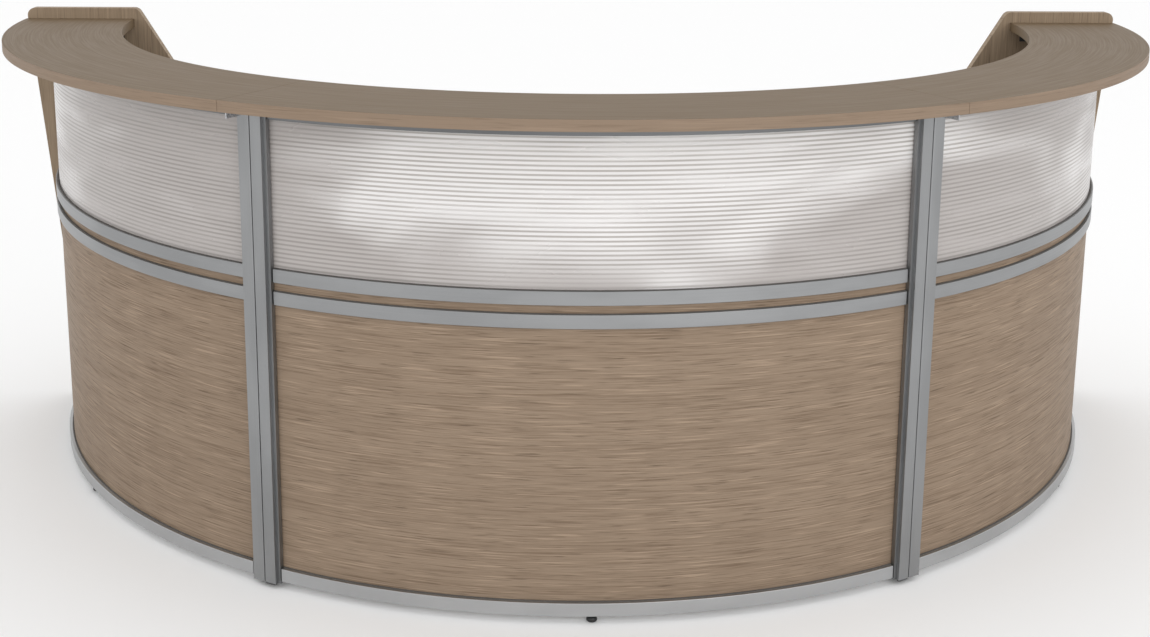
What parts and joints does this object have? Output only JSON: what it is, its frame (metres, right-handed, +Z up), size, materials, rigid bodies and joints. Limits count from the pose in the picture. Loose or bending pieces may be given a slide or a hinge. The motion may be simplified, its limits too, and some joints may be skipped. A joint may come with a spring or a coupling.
{
  "type": "curved checkout counter",
  "caption": "Half-round checkout and reception counter with wood-grain fronts, lit fluted upper panels, aluminium rails and posts, and a raised transaction top.",
  "frame": {"origin": "on the floor, under the middle of the overall bounding box", "axes": "+X to the right along the width for someone facing the front, +Y from the customer's side towards the operator's side, +Z up"},
  "size_m": [3.15, 1.6048, 1.168],
  "materials": {
    "laminate_top": "warm grey-brown laminate with a very faint grain, satin",
    "edge_band": "wood-look edge banding, fine grain along the edge, satin",
    "laminate_front": "light brown wood-grain laminate, satin",
    "polycarbonate": "milky translucent twin-wall sheet with level flutes",
    "anodised_aluminium": "satin clear anodised",
    "gasket_rubber": "matt dark grey",
    "painted_steel": "dark powder coat, fine texture",
    "zinc_steel": "bright zinc plated",
    "black_plastic": "matt black moulded nylon"
  },
  "bodies": {
    "counter": {"counter_top_left": "laminate_top", "counter_top_center": "laminate_top", "counter_top_right": "laminate_top", "counter_edge_left": "edge_band", "counter_edge_center": "edge_band", "counter_edge_right": "edge_band", "work_surface_left": "laminate_top", "work_surface_center": "laminate_top", "work_surface_right": "laminate_top", "front_panel_left": "laminate_front", "front_panel_center": "laminate_front", "front_panel_right": "laminate_front", "light_panel_left": "polycarbonate", "light_panel_center": "polycarbonate", "light_panel_right": "polycarbonate", "top_rail_left": "anodised_aluminium", "top_rail_center": "anodised_aluminium", "top_rail_right": "anodised_aluminium", "upper_rail_left": "anodised_aluminium", "upper_rail_center": "anodised_aluminium", "upper_rail_right": "anodised_aluminium", "lower_rail_left": "anodised_aluminium", "lower_rail_center": "anodised_aluminium", "lower_rail_right": "anodised_aluminium", "base_rail_left": "anodised_aluminium", "base_rail_center": "anodised_aluminium", "base_rail_right": "anodised_aluminium", "rail_gasket_left": "gasket_rubber", "rail_gasket_center": "gasket_rubber", "rail_gasket_right": "gasket_rubber", "center_post_left": "anodised_aluminium", "center_post_right": "anodised_aluminium", "side_post_left": "anodised_aluminium", "side_post_right": "anodised_aluminium", "end_post_left": "anodised_aluminium", "end_post_right": "anodised_aluminium", "post_cap_left": "black_plastic", "post_cap_right": "black_plastic", "end_panel_left": "laminate_front", "end_panel_right": "laminate_front", "support_leg_left": "painted_steel", "support_leg_right": "painted_steel", "end_bracket_left": "painted_steel", "end_bracket_right": "painted_steel", "counter_bracket_left": "zinc_steel", "counter_bracket_right": "zinc_steel", "link_plates_left": "painted_steel", "link_plates_right": "painted_steel", "wood_screws": "zinc_steel", "post_screws": "zinc_steel", "foot_nuts": "zinc_steel"},
    "front_foot_left_body": {"front_foot_left": "black_plastic"},
    "front_foot_center_body": {"front_foot_center": "black_plastic"},
    "front_foot_right_body": {"front_foot_right": "black_plastic"},
    "leg_foot_left_body": {"leg_foot_left": "black_plastic"},
    "leg_foot_right_body": {"leg_foot_right": "black_plastic"},
    "end_foot_left_outer_body": {"end_foot_left_outer": "black_plastic"},
    "end_foot_left_inner_body": {"end_foot_left_inner": "black_plastic"},
    "end_foot_right_outer_body": {"end_foot_right_outer": "black_plastic"},
    "end_foot_right_inner_body": {"end_foot_right_inner": "black_plastic"}
  },
  "joints": [
    {"name": "front_foot_left_height", "type": "slide", "parent": "counter", "child": "front_foot_left_body", "axis": [0, 0, -1], "range_m": [0, 0.012]},
    {"name": "front_foot_center_height", "type": "slide", "parent": "counter", "child": "front_foot_center_body", "axis": [0, 0, -1], "range_m": [0, 0.012]},
    {"name": "front_foot_right_height", "type": "slide", "parent": "counter", "child": "front_foot_right_body", "axis": [0, 0, -1], "range_m": [0, 0.012]},
    {"name": "leg_foot_left_height", "type": "slide", "parent": "counter", "child": "leg_foot_left_body", "axis": [0, 0, -1], "range_m": [0, 0.012]},
    {"name": "leg_foot_right_height", "type": "slide", "parent": "counter", "child": "leg_foot_right_body", "axis": [0, 0, -1], "range_m": [0, 0.012]},
    {"name": "end_foot_left_outer_height", "type": "slide", "parent": "counter", "child": "end_foot_left_outer_body", "axis": [0, 0, -1], "range_m": [0, 0.012]},
    {"name": "end_foot_left_inner_height", "type": "slide", "parent": "counter", "child": "end_foot_left_inner_body", "axis": [0, 0, -1], "range_m": [0, 0.012]},
    {"name": "end_foot_right_outer_height", "type": "slide", "parent": "counter", "child": "end_foot_right_outer_body", "axis": [0, 0, -1], "range_m": [0, 0.012]},
    {"name": "end_foot_right_inner_height", "type": "slide", "parent": "counter", "child": "end_foot_right_inner_body", "axis": [0, 0, -1], "range_m": [0, 0.012]}
  ]
}
